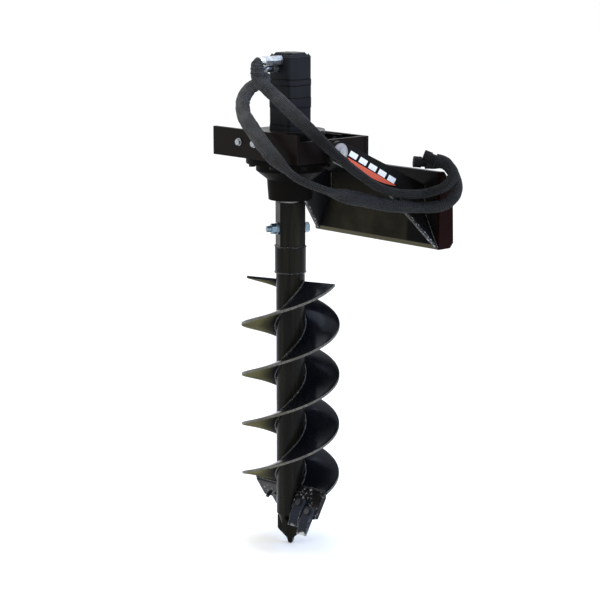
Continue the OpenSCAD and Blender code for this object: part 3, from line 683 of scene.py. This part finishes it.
# Teeth, in millimetres: the way they point, their section, and the middle, start and end of each
TOOTH_DIR = Vector((0, -0.55, -0.835))
TOOTH_OUT = Vector((0, -0.835, 0.55))
TOOTH_HALF = 20
TOOTH_THICK = 12
TOOTH_BEVEL = 34
TOOTH_TIP = 1
TOOTH_CHAMFER = 2.4
TOOTH_CROWN = 0.3
TOOTH_SHOULDER = 5
TOOTH_RINGS = 26
TOOTH_SEAT = (-8, 4)
NICK_DEEP = 4
TEETH = ((125.5, 58, 146), (79.5, 38, 126))


def in_cut(turn, place):
    """A point at a flight's lower end: X outward, -Y the way the bit turns."""
    angle = math.radians(START_TURN + turn - FLIGHT_TURN)
    x, y, z = place
    return at(x * math.cos(angle) - y * math.sin(angle), x * math.sin(angle) + y * math.cos(angle),
              FLIGHT_TOP - FLIGHT_LENGTH + z)


def add_teeth(name, turn):
    """Two forged teeth: rounded shoulders, chamfered sides, and a bevelled tip nicked by stones."""
    verts, uvs, faces = [], [], []
    for middle, start, end in TEETH:
        first = len(verts)
        for i in range(TOOTH_RINGS + 1):
            share = i / TOOTH_RINGS
            bevel = max(0.0, 1 - (1 - share) * (end - start) / TOOTH_BEVEL)
            thick = TOOTH_THICK - (TOOTH_THICK - TOOTH_TIP) * bevel
            half = TOOTH_HALF - TOOTH_SHOULDER * max(0.0, 1 - 11 * share) ** 2
            chamfer = min(TOOTH_CHAMFER, 0.4 * thick)
            crown = thick + TOOTH_CROWN
            section = [(-half, 0), (-half, thick - chamfer), (chamfer - half, thick), (-0.35 * half, crown),
                       (0.35 * half, crown), (half - chamfer, thick), (half, thick - chamfer), (half, 0)]
            for across, out in section:
                stone = noise.noise(Vector((0.23 * across, middle + turn, 0)))
                nick = NICK_DEEP * max(0.0, stone) * share ** 6
                down = start + (end - start) * share - nick
                place = Vector((middle + across, *TOOTH_SEAT)) + down * TOOTH_DIR + out * TOOTH_OUT
                verts.append(in_cut(turn, place))
                uvs.append((across / (2 * TOOTH_HALF), share))
        tooth = tube_faces(TOOTH_RINGS + 1, len(section), False)
        faces += [tuple(first + v for v in face) for face in tooth]
    teeth = new_object(name + "_forged", verts, faces, "tooth_paint", "auger", uvs,
                       smooth=False)
    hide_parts(name)


add_teeth("teeth_a", 0)
add_teeth("teeth_b", 180)


# Weld beads: radii and steps along straight seams in millimetres, ripples in metres
BEAD_SIDES = 8
BEAD_R = {"flight": 4.4, "holder": 3.6, "collar": 3.4, "coupler": 3.2, "hanger": 2.6, "arm": 3.2,
          "brace_foot": 3.4, "brace_arm": 2.8}
SEAM_STEP = 1.8
RIPPLE_LONG = 0.006


def add_bead(name, points, radius, body, closed=False, look="weld"):
    """A rippled weld bead along a path given in metres."""
    count = len(points)
    headings, sides = frames_along(points)
    if closed:
        headings = [(points[(i + 1) % count] - points[i - 1]).normalized() for i in range(count)]
        sides = [h.cross(Vector((0, 0, 1))).normalized() for h in headings]
    verts = []
    run = 0.0
    for i, centre in enumerate(points):
        run += (centre - points[i - 1]).length if i else 0.0
        ripple = 0.78 + 0.22 * abs(math.sin(run * math.pi / RIPPLE_LONG))
        wander = 1 + 0.3 * noise.noise(Vector((run * 75, radius, 0)))
        up = headings[i].cross(sides[i])
        for k in range(BEAD_SIDES):
            turn = math.tau * k / BEAD_SIDES
            spoke = math.cos(turn) * sides[i] + math.sin(turn) * up
            verts.append(centre + spoke * radius * MM * ripple * wander)
    new_object(name, verts, tube_faces(count, BEAD_SIDES, closed), look, body)


# Places of the seams, in millimetres and degrees
HELIX_STEPS = 620
HELIX_R = PIPE_R + 1.6
HELIX_RISE = 5.2
HOLDER_STEPS = 60
HOLDER_FROM = 50
HOLDER_LONG = 97
HOLDER_SEAMS = (("upper", -1, 4.2), ("lower", 1.5, -5.5))
RING_STEPS = 160
COLLAR_R = 46
COLLAR_Z = -386.5
HEX_R = 46.7
HEX_TURN = 36
HEX_OUT = 1.2
HEX_Z = -306.6
BUSHING_R = 32
BUSHING_X = 191.2
# Straight seams of the right side, which the left side mirrors: name, bead, start and end
HANGER_SEAMS = [("hanger_weld_front", "hanger", (189.6, -133, -28), (189.6, -133, 34)),
                ("hanger_weld_back", "hanger", (189.6, 133, -28), (189.6, 133, 34))]
FRAME_SEAMS = [("arm_weld_outer", "arm", (218.6, 363.4, -213), (218.6, 363.4, -132)),
               ("arm_weld_inner", "arm", (203.4, 363.4, -213), (203.4, 363.4, -132)),
               ("brace_weld_plate", "brace_foot", (220, 363.2, -217), (276, 363.2, -322)),
               ("brace_weld_arm", "brace_arm", (217.2, 363, -214), (217.2, 203, -135.5))]


def straight(mirror, a, b):
    """Points along a straight seam between two places of the right side, or mirrored for the left."""
    start = at(mirror * a[0], *a[1:])
    end = at(mirror * b[0], *b[1:])
    count = max(4, int((end - start).length / (SEAM_STEP * MM)))
    return [start.lerp(end, k / count) for k in range(count + 1)]


def coupler_seam(turns):
    """Points round the foot of the hexagonal coupler."""
    points = []
    for a in turns:
        off = (math.degrees(a) - HEX_TURN) % 60 - 30
        radius = HEX_R * math.cos(math.radians(30)) / math.cos(math.radians(off)) + HEX_OUT
        points.append(at(radius * math.cos(a), radius * math.sin(a), HEX_Z))
    return points


def add_welds():
    for letter, turn in (("a", 0), ("b", 180)):
        for side, rise in (("upper", HELIX_RISE), ("lower", -HELIX_RISE)):
            seam = [on_helix(k / HELIX_STEPS, HELIX_R, turn, rise) for k in range(HELIX_STEPS + 1)]
            add_bead(f"flight_weld_{letter}_{side}", seam, BEAD_R["flight"], "auger")
        for side, y, z in HOLDER_SEAMS:
            reach = [HOLDER_FROM + HOLDER_LONG * k / HOLDER_STEPS for k in range(HOLDER_STEPS + 1)]
            seam = [in_cut(turn, (x, y, z)) for x in reach]
            add_bead(f"holder_weld_{letter}_{side}", seam, BEAD_R["holder"], "auger")
    turns = [math.tau * k / RING_STEPS for k in range(RING_STEPS)]
    seam = [at(COLLAR_R * math.cos(a), COLLAR_R * math.sin(a), COLLAR_Z) for a in turns]
    add_bead("collar_weld", seam, BEAD_R["collar"], "auger", True)
    add_bead("coupler_weld", coupler_seam(turns), BEAD_R["coupler"], "auger", True)
    for side, mirror in (("left", -1), ("right", 1)):
        for name, bead, start, end in HANGER_SEAMS:
            seam = straight(mirror, start, end)
            add_bead(f"{name}_{side}", seam, BEAD_R[bead], "drive", look="hanger_paint")
        seam = [at(mirror * BUSHING_X, BUSHING_R * math.cos(a), BUSHING_R * math.sin(a)) for a in turns]
        add_bead(f"bushing_weld_{side}", seam, BEAD_R["hanger"], "drive", True, "hanger_paint")
        for name, bead, start, end in FRAME_SEAMS:
            add_bead(f"{name}_{side}", straight(mirror, start, end), BEAD_R[bead], "frame")


add_welds()


# Stripes on the right arm's outer face, where the photograph has printing, in millimetres
ARM_SLOPE = math.radians(24.5)
ARM_OUT = 217
FILM = 0.35
DASHES = 5
DASH_FROM = 38
DASH_STEP = 45.5
DASH_LONG = 34
DASH_HIGH = 17
DASH_UP = 4
DASH_LEAN = 4
DASH_TILT = 2
ROW_DROP = 12
STRIPE_STEPS = 24
STRIPE_FROM = 36
STRIPE_LONG = 228
STRIPE_LOW = 3
STRIPE_DROP = 9
STRIPE_DEEP = 17
STRIPE_LEAN = 3
STRIPE_EDGE = 1


def on_arm(along, up):
    """A point of the arm's outer face, along it from the pivot and up from its middle line."""
    y = along * math.cos(ARM_SLOPE) + up * math.sin(ARM_SLOPE)
    z = up * math.cos(ARM_SLOPE) - along * math.sin(ARM_SLOPE)
    return at(ARM_OUT + FILM, y, z)


def add_stripe(name, lower, upper, look):
    """A thin film between two rows of points on the arm."""
    count = len(lower)
    points = [on_arm(*p) for p in lower] + [on_arm(*p) for p in upper]
    faces = [(i, i + 1, count + i + 1, count + i) for i in range(count - 1)]
    new_object(name, points, faces, look, "frame", smooth=False)


def add_stripes():
    for k in range(DASHES):
        start = DASH_FROM + DASH_STEP * k
        low = DASH_UP - ROW_DROP * k / (DASHES - 1)
        corners = [(start, low), (start + DASH_LONG, low - DASH_TILT)]
        tops = [(along + DASH_LEAN, up + DASH_HIGH) for along, up in corners]
        add_stripe(f"dash_{k + 1}", corners, tops, "white_stripe")
    lower, upper = [], []
    for k in range(STRIPE_STEPS + 1):
        share = k / STRIPE_STEPS
        along = STRIPE_FROM + STRIPE_LONG * share
        middle = -STRIPE_LOW - STRIPE_DROP * share
        swell = math.sin(math.pi * share) ** 0.8
        lower.append((along - STRIPE_LEAN * swell, middle - STRIPE_DEEP * swell))
        upper.append((along, middle + STRIPE_EDGE))
    add_stripe("orange_stripe", lower, upper, "orange_stripe")


add_stripes()


# Hoses, in millimetres. Their routes are those of part.scad, beside the arm and round the plate's corner
HOSE_R = 19.5
PLATE_TOP = -85
PLATE_HALF = 280
ARM_GAP = 8
PLATE_GAP = 12
OUT_X = ARM_OUT + ARM_GAP + HOSE_R
END_X = PLATE_HALF + PLATE_GAP + HOSE_R
LAY_Z = PLATE_TOP + HOSE_R
ROUTES = {
    "hose_1": [(6, -136, 238), (6, -136, 220), (13, -135, 204), (38, -127, 184), (80, -115, 150),
               (152, -111, 106), (OUT_X - 20, -101, 56), (OUT_X + 10, -48, -2), (OUT_X + 10, 37, -61),
               (OUT_X + 10, 132, -114), (OUT_X + 18, 221, -139), (OUT_X + 34, 288, -144),
               (END_X + 8, 316, -130), (END_X + 32, 336, -110), (END_X + 33, 352, PLATE_TOP + 4),
               (END_X + 6, 348, LAY_Z + 12), (END_X - 16, 326, LAY_Z + 24)],
    "hose_2": [(-12, -95, 213), (-12, -95, 201), (-28, -106, 192), (-46, -122, 176), (-48, -146, 144),
               (-16, -170, 106), (42, -182, 62), (92, -182, 19), (146, -174, -24), (192, -146, -66),
               (OUT_X - 16, -90, -97), (OUT_X - 4, -3, -126), (OUT_X - 4, 100, -152),
               (OUT_X + 5, 190, -174), (OUT_X + 23, 285, -187), (END_X - 1, 340, -183),
               (END_X + 20, 374, -156), (END_X + 12, 392, -118), (END_X - 18, 382, LAY_Z + 4),
               (END_X - 50, 352, LAY_Z + 8), (END_X - 64, 334, LAY_Z + 10)],
}
# How flat each sleeve lies and by how many degrees it is turned, at shares of its length
FLATNESS = {
    "hose_1": [(0, 0), (0.08, 0.4), (0.2, 0.5), (0.3, 0.2), (0.42, 0.7), (0.62, 0.9), (0.85, 0.6), (1, 0.2)],
    "hose_2": [(0, 0), (0.05, 0.4), (0.12, 0.8), (0.2, 1), (0.27, 1), (0.33, 0.9), (0.46, 1), (0.58, 0.6),
               (0.75, 0.3), (1, 0.1)],
}
TWIST = {
    "hose_1": [(0, 0), (0.22, 0), (0.38, 80), (0.85, 80), (1, 0)],
    "hose_2": [(0, 0), (0.27, 0), (0.35, 85), (0.44, 85), (0.54, 0), (0.64, 0), (0.75, 60), (1, 60)],
}
HOSE_SIDES = 52
HOSE_FINE = 20
OUTWARD = Vector((0.74, -0.67, 0.2)).normalized()
# Lengths in metres: those over which the ends are drawn in, a gather, and one UV length
DRAWN_START = 0.035
DRAWN_END = 0.03
GATHER_LONG = 0.017
UV_LONG = 0.39
# Shares of the radius: a flat sleeve's gain and loss, its slack, folds, creases and valleys, and the
# gathers inside a bend
WIDER = 0.24
THINNER = 0.40
SLACK = 0.04
FOLD_DEEP = 0.075
CREASE_DEEP = 0.045
VALLEY_DEEP = 0.09
BUNCH_MOST = 0.13
BUNCH_RATE = 0.16
# Width of a valley in its noise, and the points on each side over which a bend is measured
VALLEY_SOFT = 0.07
BEND_SPAN = 6


def along_keys(keys, share):
    """A value between keyed shares of a hose's length, eased."""
    for (a, low), (b, high) in zip(keys, keys[1:]):
        if share <= b:
            t = (share - a) / (b - a)
            return low + (high - low) * t * t * (3 - 2 * t)
    return keys[-1][1]


def add_hose(name, look, seed):
    """A loose woven sleeve on a hose: it lies flat and turns on its way, and creases where it bends."""
    corners = [at(*p) for p in ROUTES[name]]
    path = smooth_path(corners, HOSE_FINE)
    first = (corners[1] - corners[0]).normalized()
    last = (corners[-1] - corners[-2]).normalized()
    headings, sides = frames_along(path, first, last)
    length = sum((b - a).length for a, b in zip(path, path[1:]))
    verts, uvs = [], []
    run = 0.0
    for i, centre in enumerate(path):
        run += (centre - path[i - 1]).length if i else 0.0
        share = run / length
        pull = min(1.0, run / DRAWN_START, (length - run) / DRAWN_END)
        flat = along_keys(FLATNESS[name], share) * pull
        wide = 1 + WIDER * flat
        thin = 1 - THINNER * flat
        wide_way = headings[i].cross(OUTWARD)
        wide_way = (wide_way if wide_way.length > 0.2 else sides[i]).normalized()
        thin_way = headings[i].cross(wide_way).normalized()
        twist = math.radians(along_keys(TWIST[name], share))
        wide_way, thin_way = (wide_way * math.cos(twist) + thin_way * math.sin(twist),
                              thin_way * math.cos(twist) - wide_way * math.sin(twist))
        bend = headings[min(i + BEND_SPAN, len(path) - 1)] - headings[max(i - BEND_SPAN, 0)]
        bunch = min(BUNCH_MOST, BUNCH_RATE * bend.length) * pull
        inner = bend.normalized() if bend.length > 0.01 else thin_way
        for k in range(HOSE_SIDES):
            turn = math.tau * k / HOSE_SIDES
            spoke = math.cos(turn) * sides[i] + math.sin(turn) * headings[i].cross(sides[i])
            on_wide = abs(spoke.dot(wide_way))
            on_thin = abs(spoke.dot(thin_way))
            reach = 1 / math.sqrt((on_wide / wide) ** 2 + (on_thin / thin) ** 2 + 1e-9)
            fold = noise.noise(Vector((run * 24, 1.7 * math.cos(turn), 1.7 * math.sin(turn) + seed)))
            crease = noise.noise(Vector((run * 70, 3 * math.cos(turn + run * 9), 3 * math.sin(turn) + seed)))
            reach *= 1 - pull * (SLACK - FOLD_DEEP * fold - CREASE_DEEP * crease)
            valley = noise.noise(Vector((run * 11 + seed, 1.3 * math.cos(turn), 1.3 * math.sin(turn))))
            reach *= 1 - VALLEY_DEEP * pull * math.exp(-(valley / VALLEY_SOFT) ** 2)
            gather = 0.5 + 0.5 * math.sin(run * math.tau / GATHER_LONG + 4 * fold)
            reach *= 1 - bunch * gather * max(0.0, spoke.dot(inner) + 0.25)
            verts.append(centre + spoke * HOSE_R * MM * reach)
            uvs.append((k / HOSE_SIDES, run / UV_LONG))
    faces = tube_faces(len(path), HOSE_SIDES, False)
    hose = new_object(name + "_sleeve", verts, faces, look, None, uvs)
    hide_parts(name)
    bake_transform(hose)


add_hose("hose_1", "sleeve", seed=3.1)
add_hose("hose_2", "faded_sleeve", seed=8.7)


# Ends of the sleeves on the elbows, in millimetres
CUFF_PATHS = {
    "cuff_1": [(6, -136, 224), (6, -136, 236), (6, -136, 248), (6, -132, 258), (6, -127, 261.1)],
    "cuff_2": [(-12, -95, 204), (-12, -95, 212), (-12, -95, 220), (-12, -93.5, 226)],
}
CUFF_FINE = 12
CUFF_UV = 0.12
CUFF_FOLD = 0.09
CUFF_GATHER = 0.03
CUFF_TAPER = 0.1
CUFF_CLOSE = 0.3


def add_cuff(name, look, radius, close_from, seed):
    """The end of a sleeve, pulled over its elbow, bunched there and drawn in toward its edge."""
    path = smooth_path([at(*p) for p in CUFF_PATHS[name]], CUFF_FINE)
    headings, sides = frames_along(path)
    verts, uvs = [], []
    for i, centre in enumerate(path):
        share = i / (len(path) - 1)
        for k in range(HOSE_SIDES):
            turn = math.tau * k / HOSE_SIDES
            spoke = math.cos(turn) * sides[i] + math.sin(turn) * headings[i].cross(sides[i])
            fold = noise.noise(Vector((share * 5, 2.4 * math.cos(turn), 2.4 * math.sin(turn) + seed)))
            gather = CUFF_GATHER * math.sin(share * 24 + 3 * math.sin(turn))
            close = CUFF_CLOSE * max(0.0, share - close_from) / (1 - close_from)
            reach = 1.02 - CUFF_TAPER * share - close + CUFF_FOLD * fold + gather
            verts.append(centre + spoke * radius * MM * reach)
            uvs.append((k / HOSE_SIDES, share * CUFF_UV))
    faces = tube_faces(len(path), HOSE_SIDES, False)
    new_object(name, verts, faces, look, "drive", uvs)


add_cuff("cuff_1", "sleeve", radius=20, close_from=0.6, seed=1.3)
add_cuff("cuff_2", "faded_sleeve", radius=19.5, close_from=0.8, seed=4.4)


# Stage and light, in metres and watts
FLOOR_GAP = 0.002
FLOOR_HALF = 150
WORLD_COLOUR = (0.97, 0.985, 1.0, 1)
WORLD_STRENGTH = 1.05
LIGHT_AIM = (0, -0.3, -0.3)


def add_floor():
    low = cad_box[0][2] - FLOOR_GAP
    half = FLOOR_HALF
    mesh = bpy.data.meshes.new("floor")
    corners = [(-half, -half, low), (half, -half, low), (half, half, low), (-half, half, low)]
    mesh.from_pydata(corners, [], [(0, 1, 2, 3)])
    floor = bpy.data.objects.new("floor", mesh)
    bpy.context.scene.collection.objects.link(floor)
    s = Shader("floor")
    s.give("Base Color", s.mix(s.noise(0.8, 4), (0.98, 0.98, 0.975), (0.99, 0.99, 0.985)))
    s.give("Roughness", s.span(s.noise(3), 0.3, 0.7, 0.75, 0.9))
    floor.data.materials.append(s.material)


def add_light(name, place, side, watts, colour):
    light = bpy.data.lights.new(name, "AREA")
    light.shape = "RECTANGLE"
    light.size = side
    light.size_y = side
    light.energy = watts
    light.color = colour
    lamp = bpy.data.objects.new(name, light)
    lamp.location = place
    lamp.rotation_euler = (Vector(LIGHT_AIM) - Vector(place)).to_track_quat("-Z", "Y").to_euler()
    bpy.context.scene.collection.objects.link(lamp)


def add_studio():
    world = bpy.data.worlds.new("studio")
    bpy.context.scene.world = world
    world.use_nodes = True
    background = world.node_tree.nodes["Background"]
    background.inputs["Color"].default_value = WORLD_COLOUR
    background.inputs["Strength"].default_value = WORLD_STRENGTH
    add_light("key", (-0.8, -3.4, 3.4), side=2.2, watts=60, colour=(1, 0.97, 0.93))
    add_light("sky", (3.2, 1.4, 2.4), side=1.2, watts=100, colour=(0.34, 0.56, 1))
    add_light("top", (0.3, 0.4, 4.2), side=4, watts=90, colour=(1, 1, 1))
    bpy.context.scene.view_settings.view_transform = "Standard"


add_floor()
add_studio()
